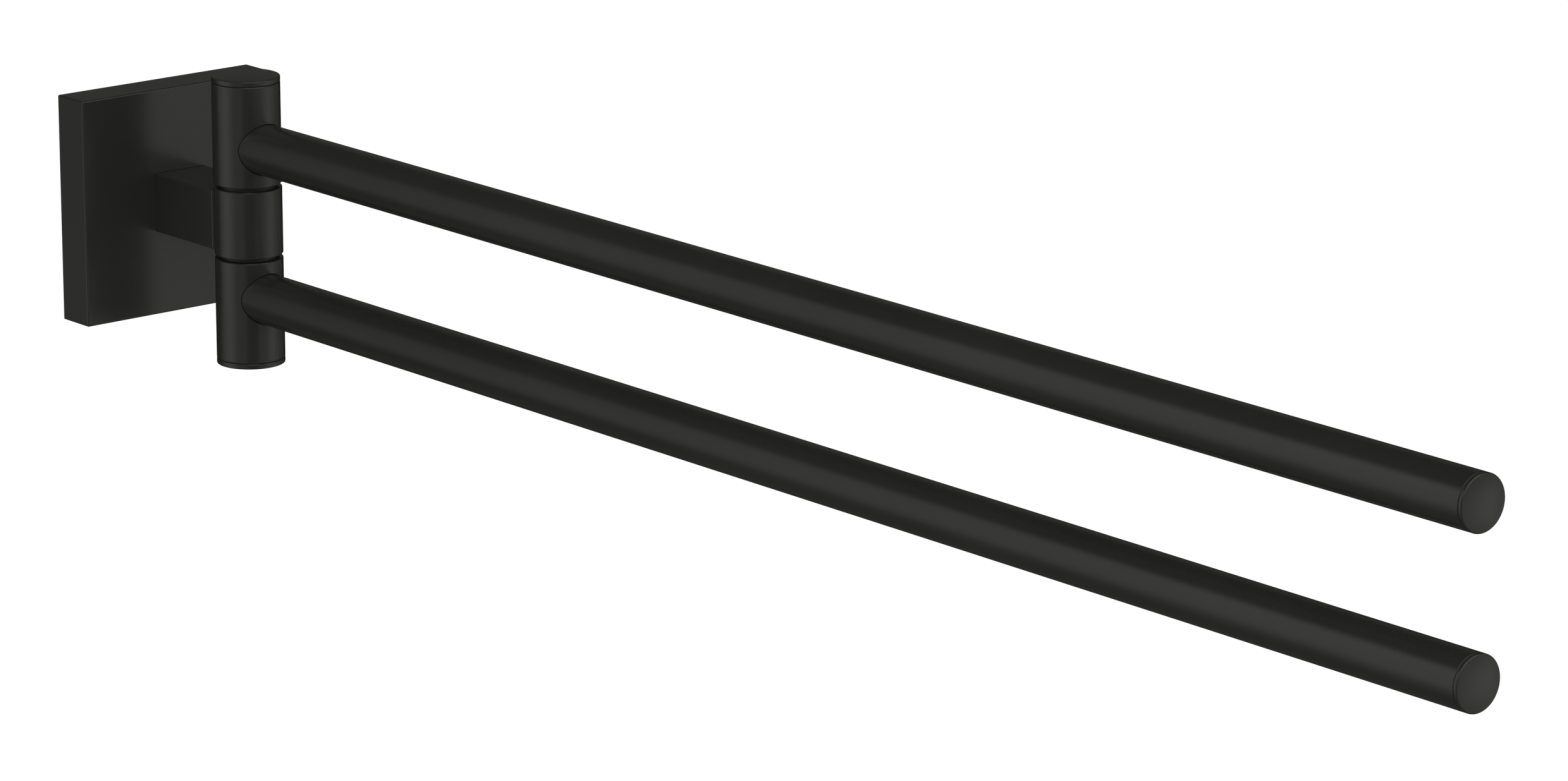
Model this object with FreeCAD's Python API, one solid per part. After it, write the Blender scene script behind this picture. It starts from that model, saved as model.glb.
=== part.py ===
import FreeCAD, Part
import math
import os

# Wall-mounted towel holder with two swinging bars, in millimetres.
# The origin is on the wall, at the centre of the square rosette. The bars point along -Y, and Z is up.
# The upper arm is modelled, and the lower arm is its mirror image below the stem.

# Wall bracket
wall_hole_spacing = 32.0
wall_hole_diameter = 5.5
bracket_ear = 6.0
bracket_sheet = 2.5
bracket_bend = 0.5
bracket_side_gap = 3.0
bracket_lower_gap = 3.0
bracket_front_gap = 0.3

# Rosette, a square cover that hides the bracket
rosette_wall = 2.0
rosette_front = 2.5
rosette_room = 1.2
rosette_rounding = 0.4

# Set screw that clamps the rosette on the bracket from below
clamp_screw_diameter = 4.0
clamp_screw_recess = 0.4
clamp_screw_socket = 2.0
clamp_socket_depth = 2.0
clamp_point_chamfer = 0.5
clamp_front_wall = 1.0
clamp_boss_wall = 2.0
clamp_boss_gap = 0.3
clamp_boss_setback = 1.0

# Square stem between the rosette and the post
post_offset = 37.5
stem_lip = 1.0
stem_seat_depth = 0.5
stem_flat_from_axis = 4.5
stem_rounding = 0.3
stem_fit = 0.05

# Screw that pulls the stem and the post on to the rosette
stem_screw_diameter = 5.0
stem_screw_head_lip = 2.0
stem_screw_head_height = 2.8
stem_screw_socket = 4.0
stem_socket_depth = 1.8
stem_screw_blind_wall = 3.0
stem_hole_clearance = 0.25
stem_washer_lip = 2.4
stem_washer_thickness = 1.0
thread_clearance = 0.03
thread_runout = 0.4

# Post: a fixed centre knuckle with a swinging knuckle above and below it
centre_height = 16.0
groove_height = 0.9
groove_recess = 1.2
knuckle_cheek = 2.0
knuckle_rounding = 0.3
lower_web = 2.9
upper_web = 2.2
running_gap = 0.05
thrust_gap = 0.1

# Shoulder screw that each arm swings on
pivot_diameter = 6.0
pivot_thread_diameter = 5.0
pivot_thread_web = 1.5
pivot_head_lip = 1.5
pivot_head_height = 2.5
pivot_socket = 4.0
pivot_socket_depth = 1.6

# Bush, friction disc and disc spring
bush_wall = 1.0
bush_flange_lip = 1.4
bush_flange_height = 1.0
bush_end_gap = 0.2
friction_disc_thickness = 0.8
disc_spring_height = 1.0
disc_spring_sheet = 0.5
counterbore_wall = 1.8
disc_edge_gap = 0.3

# Post cap with its ring
cap_rim_height = 1.6
cap_dome_rise = 0.3
cap_rounding = 0.3
cap_skirt_length = 2.25
cap_skirt_wall = 1.7
cap_skirt_fit = 0.1
cap_room = 0.3
ring_section = 1.0
ring_groove_fit = 0.05

# Bar
bar_reach = 439.0
bar_diameter = 12.0
bar_wall = 1.0
bar_rounding = 0.2
socket_fit = 0.15
socket_floor_wall = 0.85
spigot_length = 15.0
spigot_fit = 0.05
spigot_chamfer = 0.5

# End cap of the bar
end_cap_flange = 1.5
end_cap_dome_rise = 0.35
end_cap_rounding = 0.25
end_plug_length = 8.0
end_plug_wall = 1.4
end_plug_fit = 0.05

# How far cutters run past what they cut, and how near two places count as one
overrun = 1.0
same_place = 0.001

# Sizes that follow
bracket_width = wall_hole_spacing + 2 * bracket_ear
rosette_side = bracket_width + 2 * (bracket_side_gap + rosette_wall)
cavity_side = rosette_side - 2 * rosette_wall
cavity_depth = bracket_sheet + rosette_room + stem_screw_head_height + stem_washer_thickness
rosette_depth = cavity_depth + rosette_front
bracket_reach = cavity_depth - bracket_front_gap
bracket_top = cavity_side / 2
bracket_bottom = bracket_lower_gap - cavity_side / 2
clamp_from_wall = cavity_depth - clamp_front_wall - clamp_screw_diameter / 2

stem_side = centre_height - 2 * stem_lip
stem_start = rosette_depth - stem_seat_depth
stem_end = post_offset - stem_flat_from_axis

knuckle_radius = bar_diameter / 2 + knuckle_cheek
knuckle_base = centre_height / 2 + groove_height
bar_level = knuckle_base + lower_web + bar_diameter / 2
counterbore_floor = bar_level + bar_diameter / 2 + upper_web
friction_disc_base = counterbore_floor + running_gap
disc_spring_base = friction_disc_base + friction_disc_thickness
pivot_head_base = disc_spring_base + disc_spring_height
cap_skirt_base = pivot_head_base + pivot_head_height + cap_room
knuckle_top = cap_skirt_base + cap_skirt_length

pivot_radius = pivot_diameter / 2
pivot_bore_radius = pivot_radius + running_gap
bush_radius = pivot_bore_radius + bush_wall
counterbore_radius = knuckle_radius - counterbore_wall
disc_radius = counterbore_radius - disc_edge_gap
pivot_thread_length = centre_height / 2 - stem_screw_diameter / 2 - pivot_thread_web

bar_radius = bar_diameter / 2
bar_bore_radius = bar_radius - bar_wall
socket_floor = post_offset + bush_radius + socket_floor_wall
tube_end = bar_reach - end_cap_flange

UP = FreeCAD.Vector(0, 0, 1)
OUTWARD = FreeCAD.Vector(0, -1, 0)


def place(from_wall, level):
    """A point on the middle plane, at a distance from the wall and a height."""
    return FreeCAD.Vector(0, -from_wall, level)


def block(half_width, near_wall, far_from_wall, low, high):
    """A box centred on the middle plane, between two distances from the wall and two heights."""
    corner = FreeCAD.Vector(-half_width, -far_from_wall, low)
    return Part.makeBox(2 * half_width, far_from_wall - near_wall, high - low, corner)


def rod(radius, start, end):
    """A round rod between the centres of its two ends."""
    along = end - start
    return Part.makeCylinder(radius, along.Length, start, along)


def dome_arc(rim, tip):
    """The arc of a shallow dome, from its rim to its tip on the axis."""
    rise = tip.z - rim.z
    ball_radius = (rim.x ** 2 + rise ** 2) / (2 * rise)
    ball_centre = tip - UP * ball_radius
    to_middle = (rim + tip) * 0.5 - ball_centre
    return Part.Arc(rim, ball_centre + to_middle.normalize() * ball_radius, tip).toShape()


def turned(outline, base, direction, has_dome=False):
    """A turned piece: its outline of (radius, distance) corners goes round a line from base.

    The run to the last corner can be the arc of a dome.
    """
    corners = [FreeCAD.Vector(radius, 0, distance) for radius, distance in outline]
    runs = Part.makePolygon(corners + corners[:1]).Edges
    if has_dome:
        runs[-2] = dome_arc(corners[-2], corners[-1])
    solid = Part.Face(Part.Wire(runs)).revolve(FreeCAD.Vector(), UP, 360)
    solid.Placement = FreeCAD.Placement(base, FreeCAD.Rotation(UP, direction))
    return solid


def ring(inner_radius, outer_radius, thickness, base, direction):
    """A flat washer whose first face is centred on base."""
    outline = [(inner_radius, 0), (outer_radius, 0), (outer_radius, thickness), (inner_radius, thickness)]
    return turned(outline, base, direction)


def hex_socket(across_flats, depth, mouth, inward):
    """The cutter of a hexagonal socket that goes inward from its mouth."""
    corner_radius = across_flats / math.sqrt(3)
    corners = []
    for turn in range(7):
        angle = math.radians(60 * turn)
        corners.append(FreeCAD.Vector(corner_radius * math.cos(angle), corner_radius * math.sin(angle), 0))
    prism = Part.Face(Part.makePolygon(corners)).extrude(UP * (depth + overrun))
    prism.Placement = FreeCAD.Placement(mouth - inward * overrun, FreeCAD.Rotation(UP, inward))
    return prism


def rounded_rims(solid, radius, rounding):
    """Round each full circular edge of one radius."""
    around = 2 * math.pi * radius
    rims = [edge for edge in solid.Edges if edge.isClosed() and abs(edge.Length - around) < same_place]
    return solid.makeFillet(rounding, rims)


def rounded_but_rear(solid, rear_from_wall, rounding):
    """Round each edge of a block but those of its rear face."""
    edges = []
    for edge in solid.Edges:
        offsets = [abs(corner.Point.y + rear_from_wall) for corner in edge.Vertexes]
        if max(offsets) > same_place:
            edges.append(edge)
    return solid.makeFillet(rounding, edges)


def mirrored(solid):
    """The same piece below the middle height."""
    return solid.mirror(FreeCAD.Vector(), UP)


def pair(solid):
    """Two alike pieces, above and below the middle height."""
    return Part.makeCompound([solid, mirrored(solid)])


def rounded_bends(sheet, from_wall, rounding):
    """Round the channel's long edges that lie at a distance from the wall."""
    edges = []
    for edge in sheet.Edges:
        centre = edge.CenterOfMass
        if abs(centre.x) < same_place and abs(centre.y + from_wall) < same_place:
            edges.append(edge)
    return sheet.makeFillet(rounding, edges)


def wall_bracket():
    """Folded channel screwed to the wall, with a flange along its top and its bottom."""
    channel = block(bracket_width / 2, 0, bracket_reach, bracket_bottom, bracket_top)
    inner_bottom = bracket_bottom + bracket_sheet
    inner_top = bracket_top - bracket_sheet
    past_side = bracket_width / 2 + overrun
    channel = channel.cut(block(past_side, bracket_sheet, bracket_reach + overrun, inner_bottom, inner_top))
    channel = rounded_bends(channel, 0, bracket_bend + bracket_sheet)
    channel = rounded_bends(channel, bracket_sheet, bracket_bend)
    for side in (-1, 1):
        centre = FreeCAD.Vector(side * wall_hole_spacing / 2, 0, 0)
        behind = centre - OUTWARD * overrun
        in_front = centre + OUTWARD * (bracket_sheet + overrun)
        channel = channel.cut(rod(wall_hole_diameter / 2, behind, in_front))
    return channel


def rosette_cover():
    """Square cover, open towards the wall, with a boss inside for the set screw below."""
    half = rosette_side / 2
    shell = rounded_but_rear(block(half, 0, rosette_depth, -half, half), 0, rosette_rounding)
    half_cavity = cavity_side / 2
    shell = shell.cut(block(half_cavity, -overrun, cavity_depth, -half_cavity, half_cavity))
    boss_half_width = clamp_screw_diameter / 2 + clamp_boss_wall
    boss_top = bracket_bottom - clamp_boss_gap
    boss_bottom = -half_cavity - rosette_wall / 2
    boss_front = cavity_depth + rosette_front / 2
    shell = shell.fuse(block(boss_half_width, clamp_boss_setback, boss_front, boss_bottom, boss_top))
    shell = shell.removeSplitter()
    clamp_hole_radius = clamp_screw_diameter / 2 + thread_clearance
    hole_start = place(clamp_from_wall, -half - overrun)
    shell = shell.cut(rod(clamp_hole_radius, hole_start, place(clamp_from_wall, boss_top + overrun)))
    seat_half = stem_side / 2 + stem_fit
    shell = shell.cut(block(seat_half, stem_start, rosette_depth + overrun, -seat_half, seat_half))
    screw_hole_radius = stem_screw_diameter / 2 + stem_hole_clearance
    return shell.cut(rod(screw_hole_radius, place(0, 0), place(rosette_depth + overrun, 0)))


def clamp_set_screw():
    """Headless screw with a chamfered point that bears on the bracket's lower flange."""
    mouth = place(clamp_from_wall, clamp_screw_recess - rosette_side / 2)
    length = bracket_bottom - mouth.z
    radius = clamp_screw_diameter / 2
    point_radius = radius - clamp_point_chamfer
    shank_length = length - clamp_point_chamfer
    outline = [(0, 0), (radius, 0), (radius, shank_length), (point_radius, length), (0, length)]
    screw = turned(outline, mouth, UP)
    return screw.cut(hex_socket(clamp_screw_socket, clamp_socket_depth, mouth, UP))


def stem_block():
    """Square bar with a through hole, seated in the rosette's front."""
    half = stem_side / 2
    stem = rounded_but_rear(block(half, stem_start, stem_end, -half, half), stem_start, stem_rounding)
    hole_radius = stem_screw_diameter / 2 + stem_hole_clearance
    return stem.cut(rod(hole_radius, place(stem_start - overrun, 0), place(stem_end + overrun, 0)))


def stem_washer():
    """Flat washer under the head of the stem's screw."""
    inner_radius = stem_screw_diameter / 2 + stem_fit
    outer_radius = stem_screw_diameter / 2 + stem_washer_lip
    return ring(inner_radius, outer_radius, stem_washer_thickness, place(cavity_depth, 0), -OUTWARD)


def stem_screw():
    """Socket screw from inside the rosette, through the stem and across the centre knuckle."""
    seat = cavity_depth - stem_washer_thickness
    tip = post_offset + knuckle_radius - stem_screw_blind_wall
    head_radius = stem_screw_diameter / 2 + stem_screw_head_lip
    mouth = place(seat - stem_screw_head_height, 0)
    head = rod(head_radius, mouth, place(seat, 0))
    screw = head.fuse(rod(stem_screw_diameter / 2, place(seat, 0), place(tip, 0)))
    return screw.cut(hex_socket(stem_screw_socket, stem_socket_depth, mouth, OUTWARD))


def centre_knuckle():
    """Fixed middle of the post: a round body whose square neck meets the stem between two lips."""
    half_height = centre_height / 2
    half_stem = stem_side / 2
    body = rod(knuckle_radius, place(post_offset, -half_height), place(post_offset, half_height))
    body = rounded_rims(body, knuckle_radius, knuckle_rounding)
    slot_half = half_stem + stem_fit
    slot_width = max(knuckle_radius, half_stem) + overrun
    slot_start = post_offset - knuckle_radius - overrun
    body = body.cut(block(slot_width, slot_start, stem_end, -slot_half, slot_half))
    neck = block(half_stem, stem_end, post_offset, -half_stem, half_stem)
    neck = rounded_but_rear(neck, post_offset, stem_rounding)
    body = body.fuse(neck)
    screw_tip = post_offset + knuckle_radius - stem_screw_blind_wall + thread_runout
    screw_hole_radius = stem_screw_diameter / 2 + thread_clearance
    body = body.cut(rod(screw_hole_radius, place(stem_end - overrun, 0), place(screw_tip, 0)))
    thread_radius = pivot_thread_diameter / 2 + thread_clearance
    thread_bottom = place(post_offset, half_height - pivot_thread_length - thread_runout)
    thread_hole = rod(thread_radius, thread_bottom, place(post_offset, half_height + overrun))
    return body.cut([thread_hole, mirrored(thread_hole)])


def pivot_screw():
    """Shoulder screw: its thread goes into the centre knuckle, and an arm swings on its shoulder."""
    shoulder_base = centre_height / 2
    thread_base = shoulder_base - pivot_thread_length
    head_top = pivot_head_base + pivot_head_height
    head_radius = pivot_radius + pivot_head_lip
    outline = [
        (0, thread_base),
        (pivot_thread_diameter / 2, thread_base),
        (pivot_thread_diameter / 2, shoulder_base),
        (pivot_radius, shoulder_base),
        (pivot_radius, pivot_head_base),
        (head_radius, pivot_head_base),
        (head_radius, head_top),
        (0, head_top),
    ]
    screw = turned(outline, place(post_offset, 0), UP)
    return screw.cut(hex_socket(pivot_socket, pivot_socket_depth, place(post_offset, head_top), -UP))


def thrust_washer():
    """Washer in the groove between two knuckles, set back from their surface."""
    thickness = groove_height - thrust_gap
    outer_radius = knuckle_radius - groove_recess
    return ring(pivot_bore_radius, outer_radius, thickness, place(post_offset, centre_height / 2), UP)


def friction_disc():
    """Disc between the knuckle's inner floor and the spring, for a steady feel in the swing."""
    base = place(post_offset, friction_disc_base)
    return ring(pivot_bore_radius, disc_radius, friction_disc_thickness, base, UP)


def disc_spring():
    """Conical spring washer between the friction disc and the screw's head."""
    outline = [
        (pivot_bore_radius, disc_spring_height - disc_spring_sheet),
        (disc_radius, 0),
        (disc_radius, disc_spring_sheet),
        (pivot_bore_radius, disc_spring_height),
    ]
    return turned(outline, place(post_offset, disc_spring_base), UP)


def arm_knuckle():
    """Swinging knuckle: bored for its bush and screw head, with a socket and a spigot for the bar."""
    base = place(post_offset, knuckle_base)
    top = place(post_offset, knuckle_top)
    body = rounded_rims(rod(knuckle_radius, base, top), knuckle_radius, knuckle_rounding)
    below = base - UP * overrun
    above = top + UP * overrun
    flange_recess_top = base + UP * bush_flange_height
    spigot_radius = bar_bore_radius - spigot_fit
    socket_radius = bar_radius + socket_fit
    socket_depth = knuckle_radius + overrun
    cutters = [
        rod(bush_radius, below, above),
        rod(bush_radius + bush_flange_lip, below, flange_recess_top),
        rod(counterbore_radius, place(post_offset, counterbore_floor), above),
        ring(spigot_radius, socket_radius, socket_depth, place(socket_floor, bar_level), OUTWARD),
    ]
    for cutter in cutters:
        body = body.cut(cutter)
    spigot_outline = [
        (0, 0),
        (spigot_radius, 0),
        (spigot_radius, spigot_length - spigot_chamfer),
        (spigot_radius - spigot_chamfer, spigot_length),
        (0, spigot_length),
    ]
    return body.fuse(turned(spigot_outline, place(socket_floor, bar_level), OUTWARD)).removeSplitter()


def arm_bush():
    """Flanged plain bush that lines the knuckle's bore."""
    length = counterbore_floor - bush_end_gap - knuckle_base
    flange_radius = bush_radius + bush_flange_lip
    outline = [
        (pivot_bore_radius, 0),
        (flange_radius, 0),
        (flange_radius, bush_flange_height),
        (bush_radius, bush_flange_height),
        (bush_radius, length),
        (pivot_bore_radius, length),
    ]
    return turned(outline, place(post_offset, knuckle_base), UP)


def bar_tube():
    """Round tube from the knuckle's socket to the end cap."""
    start = place(socket_floor, bar_level)
    end = place(tube_end, bar_level)
    tube = rounded_rims(rod(bar_radius, start, end), bar_radius, bar_rounding)
    return tube.cut(rod(bar_bore_radius, start - OUTWARD * overrun, end + OUTWARD * overrun))


def bar_end_cap():
    """Domed plug that closes the far end of the tube."""
    plug_radius = bar_bore_radius - end_plug_fit
    hollow_radius = plug_radius - end_plug_wall
    outline = [
        (0, 0),
        (hollow_radius, 0),
        (hollow_radius, -end_plug_length),
        (plug_radius, -end_plug_length),
        (plug_radius, 0),
        (bar_radius, 0),
        (bar_radius, end_cap_flange - end_cap_dome_rise),
        (0, end_cap_flange),
    ]
    cap = turned(outline, place(tube_end, bar_level), OUTWARD, has_dome=True)
    return rounded_rims(cap, bar_radius, end_cap_rounding)


def post_cap():
    """Domed cap over the screw head, with a grooved skirt inside the knuckle."""
    skirt_radius = counterbore_radius - cap_skirt_fit
    skirt_bore = skirt_radius - cap_skirt_wall
    outline = [
        (0, 0),
        (skirt_bore, 0),
        (skirt_bore, -cap_skirt_length),
        (skirt_radius, -cap_skirt_length),
        (skirt_radius, 0),
        (knuckle_radius, 0),
        (knuckle_radius, cap_rim_height - cap_dome_rise),
        (0, cap_rim_height),
    ]
    cap = turned(outline, place(post_offset, knuckle_top), UP, has_dome=True)
    cap = rounded_rims(cap, knuckle_radius, cap_rounding)
    groove_width = ring_section + 2 * ring_groove_fit
    groove_base = place(post_offset, knuckle_top - (cap_skirt_length + groove_width) / 2)
    groove_radius = counterbore_radius - ring_section - ring_groove_fit
    return cap.cut(ring(groove_radius, counterbore_radius, groove_width, groove_base, UP))


def cap_ring():
    """Elastic ring in the skirt's groove that grips the knuckle."""
    centre = place(post_offset, knuckle_top - cap_skirt_length / 2)
    section_radius = ring_section / 2
    return Part.makeTorus(counterbore_radius - section_radius, section_radius, centre, UP)


def save(name, shape):
    """Write one node."""
    shape.exportStep("parts/" + name + ".step")


os.makedirs("parts", exist_ok=True)

fixed_pieces = {
    "wall_bracket": wall_bracket(),
    "rosette_cover": rosette_cover(),
    "clamp_set_screw": clamp_set_screw(),
    "stem_block": stem_block(),
    "stem_washer": stem_washer(),
    "stem_screw": stem_screw(),
    "centre_knuckle": centre_knuckle(),
    "pivot_screws": pair(pivot_screw()),
    "thrust_washers": pair(thrust_washer()),
    "friction_discs": pair(friction_disc()),
    "disc_springs": pair(disc_spring()),
}
for name, shape in fixed_pieces.items():
    save(name, shape)

arm_pieces = {
    "knuckle": arm_knuckle(),
    "bush": arm_bush(),
    "bar_tube": bar_tube(),
    "bar_end_cap": bar_end_cap(),
    "post_cap": post_cap(),
    "cap_ring": cap_ring(),
}
for name, shape in arm_pieces.items():
    save("upper_" + name, shape)
    save("lower_" + name, mirrored(shape))
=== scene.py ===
"""Towel holder with two swinging bars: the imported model's finishes, finer pieces and studio.

The finer pieces are the bars, their end caps, the post caps and the screws with their threads.
Sizes of the holder's pieces are in millimetres, as in its drawings, and those of the studio are in
metres. The origin is on the wall at the centre of the rosette, the bars point along -Y and Z is up.
An azimuth of 0 degrees looks at the front from -Y, 90 degrees is the +X side and 180 degrees is
behind the wall.
"""

import logging
import math
from dataclasses import dataclass
from enum import Enum
from typing import Any, Sequence

import bpy
import numpy as np
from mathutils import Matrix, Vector


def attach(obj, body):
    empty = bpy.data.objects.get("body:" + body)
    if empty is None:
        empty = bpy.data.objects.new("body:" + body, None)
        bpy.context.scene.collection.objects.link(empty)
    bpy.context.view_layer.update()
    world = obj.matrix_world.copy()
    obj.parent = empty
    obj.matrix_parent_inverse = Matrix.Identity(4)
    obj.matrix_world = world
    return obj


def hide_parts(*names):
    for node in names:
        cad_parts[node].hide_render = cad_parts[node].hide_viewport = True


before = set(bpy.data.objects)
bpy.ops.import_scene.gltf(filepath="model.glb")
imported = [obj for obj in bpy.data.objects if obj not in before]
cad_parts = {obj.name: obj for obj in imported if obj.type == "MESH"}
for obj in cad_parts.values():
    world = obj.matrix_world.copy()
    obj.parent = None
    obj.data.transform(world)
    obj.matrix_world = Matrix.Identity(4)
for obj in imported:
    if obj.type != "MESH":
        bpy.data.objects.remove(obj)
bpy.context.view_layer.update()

LOG = logging.getLogger("towel_holder")
MM = 0.001
UP = Vector((0, 0, 1))
DOWN = Vector((0, 0, -1))
FROM_WALL = Vector((0, -1, 0))
# The post's axis is this far from the wall, in mm.
POST_OFFSET = 37.5
# The lamps face the middle of the holder's reach, in metres.
HOLDER_MIDDLE = Vector((0, -0.2, 0))

# Points closer to each other than this, in metres, count as one.
SAME_PLACE = 1e-7
# A turned piece has this many columns, a rounded corner and a dome this many points.
TURN_COLUMNS = 120
ARC_POINTS = 9
DOME_POINTS = 22
# The flat sides of a rounded corner get a point this far beyond it, over its rounding.
FLAT_HOLD = 0.25
# Faces that meet at more than this, in degrees, show an edge.
SHARP_EDGE = 25

# A thread has this many rows in a pitch, and this depth over its pitch.
THREAD_ROWS = 14
THREAD_DEPTH = 0.6
# Of half a pitch, this much is flat root and this much flank. The rest is flat crest.
THREAD_ROOT = 0.2
THREAD_FLANK = 0.6
# A hexagon has this turn from corner to corner, in radians.
HEXAGON_SIDE = math.pi / 3
# A socket's mouth is bevelled by this, in mm, and its floor is a cone this deep over its flats.
SOCKET_LEAD_IN = 0.12
SOCKET_CONE = 0.2

Grid = np.ndarray
Colour = tuple[float, float, float, float]
Point = tuple[float, float]
Corner = tuple[float, float, float]
Span = tuple[float, float]
Finishes = dict["Slot", bpy.types.Material]


class Body(Enum):
    """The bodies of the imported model."""

    WALL_MOUNT = "wall_mount"
    UPPER_ARM = "upper_arm"
    LOWER_ARM = "lower_arm"


class Side(Enum):
    """The two arms, above and below the stem."""

    UPPER = "upper"
    LOWER = "lower"


class Slot(Enum):
    """The material slots of the record."""

    COATED = "black_coated_metal"
    ZINC = "zinc_plated_steel"
    SPRING = "spring_steel"
    ACETAL = "black_acetal"
    RUBBER = "ring_rubber"


def linear(hex_colour: str) -> Colour:
    """Turn an sRGB hex colour into linear red, green, blue and alpha.

    A channel c becomes c / 12.92 up to 0.04045, and ((c + 0.055) / 1.055) ^ 2.4 above that.

    Args:
        hex_colour: A colour such as "#1e1e1b".

    Returns:
        The linear colour with an alpha of 1.
    """
    coded = [int(hex_colour[start:start + 2], 16) / 255 for start in (1, 3, 5)]
    channels = [c / 12.92 if c <= 0.04045 else ((c + 0.055) / 1.055) ** 2.4 for c in coded]
    return (*channels, 1.0)


def add_node(tree: bpy.types.NodeTree, kind: str, inputs: dict[str | int, Any] | None = None,
             **settings: Any) -> bpy.types.Node:
    """Add a node with its settings, values and links.

    Args:
        tree: The node tree that the node goes into.
        kind: The node's type name.
        inputs: A value or an output socket to link, by the name or number of the input.
        **settings: Properties of the node by name.

    Returns:
        The new node.
    """
    node = tree.nodes.new(kind)
    for name, value in settings.items():
        setattr(node, name, value)
    for socket, value in (inputs or {}).items():
        if isinstance(value, bpy.types.NodeSocket):
            tree.links.new(value, node.inputs[socket])
        else:
            node.inputs[socket].default_value = value
    return node


def empty_material(name: str) -> bpy.types.Material:
    """Make a node material with nothing in it but its output.

    Args:
        name: The name of the finish.

    Returns:
        The material.
    """
    material = bpy.data.materials.new(name)
    material.use_nodes = True
    material.node_tree.nodes.clear()
    add_node(material.node_tree, "ShaderNodeOutputMaterial")
    return material


def finish_surface(material: bpy.types.Material, shader: bpy.types.Node) -> None:
    """Link a shader to the material's surface output.

    Args:
        material: A material from empty_material.
        shader: The node whose first output is the shader.
    """
    output = next(n for n in material.node_tree.nodes if n.type == "OUTPUT_MATERIAL")
    material.node_tree.links.new(shader.outputs[0], output.inputs["Surface"])


def two_tones(tree: bpy.types.NodeTree, value: bpy.types.NodeSocket, stops: Span,
              colours: tuple[str, str]) -> bpy.types.NodeSocket:
    """Blend from one colour to another as a pattern's value rises.

    Args:
        tree: The node tree that the node goes into.
        value: The socket of the pattern's value.
        stops: The values at which the first colour ends and the second begins.
        colours: The two sRGB hex colours.

    Returns:
        The socket of the colour.
    """
    blend = add_node(tree, "ShaderNodeValToRGB", {"Fac": value})
    for number, (stop, colour) in enumerate(zip(stops, colours)):
        blend.color_ramp.elements[number].position = stop
        blend.color_ramp.elements[number].color = linear(colour)
    return blend.outputs["Color"]


def relief(tree: bpy.types.NodeTree, value: bpy.types.NodeSocket,
           height_mm: float) -> bpy.types.NodeSocket:
    """Raise a surface by a pattern.

    Args:
        tree: The node tree that the node goes into.
        value: The socket of the pattern's value.
        height_mm: The real height between the values 0 and 1.

    Returns:
        The socket of the surface's direction.
    """
    bump = add_node(tree, "ShaderNodeBump", {
        "Height": value, "Strength": 1.0, "Distance": height_mm * MM})
    return bump.outputs["Normal"]


@dataclass(frozen=True)
class Noise:
    """A cloudy pattern that is fixed to the piece, with its size on the real piece in mm.

    The detail is the number of finer octaves, and the roughness is their strength.
    """

    size_mm: float
    detail: float
    roughness: float

    def add(self, tree: bpy.types.NodeTree) -> bpy.types.NodeSocket:
        """Add the pattern to a material.

        Args:
            tree: The node tree that the nodes go into.

        Returns:
            The socket of the pattern's value, which is near 0.5 in most places.
        """
        place = add_node(tree, "ShaderNodeTexCoord").outputs["Object"]
        noise = add_node(tree, "ShaderNodeTexNoise", {
            "Vector": place, "Scale": 1 / (self.size_mm * MM), "Detail": self.detail,
            "Roughness": self.roughness})
        return noise.outputs["Fac"]


@dataclass(frozen=True)
class BlackPowderCoat:
    """Satin black powder coat, sprayed on brass and baked.

    To the eye it is a soft, slightly warm black with broad highlights. The baked powder leaves
    a very fine orange peel, which only breaks up the edge of a highlight. The peel is drawn at
    0.6 mm, which is about as fine as the picture can show.
    """

    name: str = "satin black powder coat"
    colour: str = "#222220"
    colour_thin: str = "#252523"
    roughness: float = 0.23
    roughness_spread: float = 0.015
    ior: float = 1.5
    clouds: Noise = Noise(45.0, detail=3.0, roughness=0.5)
    colour_stops: Span = (0.35, 0.65)
    gloss_stops: Span = (0.3, 0.7)
    peel: Noise = Noise(0.6, detail=1.0, roughness=0.4)
    peel_height_mm: float = 0.0006

    def material(self) -> bpy.types.Material:
        """Make the coat, with its peel as bump and faint clouds in its colour and gloss.

        Returns:
            The material.
        """
        material = empty_material(self.name)
        tree = material.node_tree
        clouds = self.clouds.add(tree)
        gloss = add_node(tree, "ShaderNodeMapRange", {
            "Value": clouds, "From Min": self.gloss_stops[0], "From Max": self.gloss_stops[1],
            "To Min": self.roughness - self.roughness_spread,
            "To Max": self.roughness + self.roughness_spread})
        finish_surface(material, add_node(tree, "ShaderNodeBsdfPrincipled", {
            "Base Color": two_tones(
                tree, clouds, self.colour_stops, (self.colour, self.colour_thin)),
            "Roughness": gloss.outputs["Result"], "IOR": self.ior,
            "Normal": relief(tree, self.peel.add(tree), self.peel_height_mm)}))
        return material


@dataclass(frozen=True)
class ZincPlate:
    """Bright zinc plating with a clear blue passivation, on pressed steel.

    To the eye it is a pale cool grey metal with faint blue and straw clouds. The passivation is
    slightly milky, so a part of the light scatters instead of being mirrored. The fine grain of
    rolled sheet is drawn at 0.25 mm, coarser than it is, so that the picture can show it.
    """

    name: str = "blue passivated zinc plate"
    colour_blue: str = "#b9bfc6"
    colour_straw: str = "#c6c2b4"
    mirrored_share: float = 0.75
    roughness: float = 0.34
    clouds: Noise = Noise(9.0, detail=4.0, roughness=0.55)
    colour_stops: Span = (0.38, 0.66)
    grain: Noise = Noise(0.25, detail=2.0, roughness=0.5)
    grain_height_mm: float = 0.002

    def material(self) -> bpy.types.Material:
        """Make the plating, with clouds of colour and the grain as bump.

        Returns:
            The material.
        """
        material = empty_material(self.name)
        tree = material.node_tree
        finish_surface(material, add_node(tree, "ShaderNodeBsdfPrincipled", {
            "Base Color": two_tones(
                tree, self.clouds.add(tree), self.colour_stops,
                (self.colour_blue, self.colour_straw)),
            "Metallic": self.mirrored_share, "Roughness": self.roughness,
            "Normal": relief(tree, self.grain.add(tree), self.grain_height_mm)}))
        return material


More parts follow.
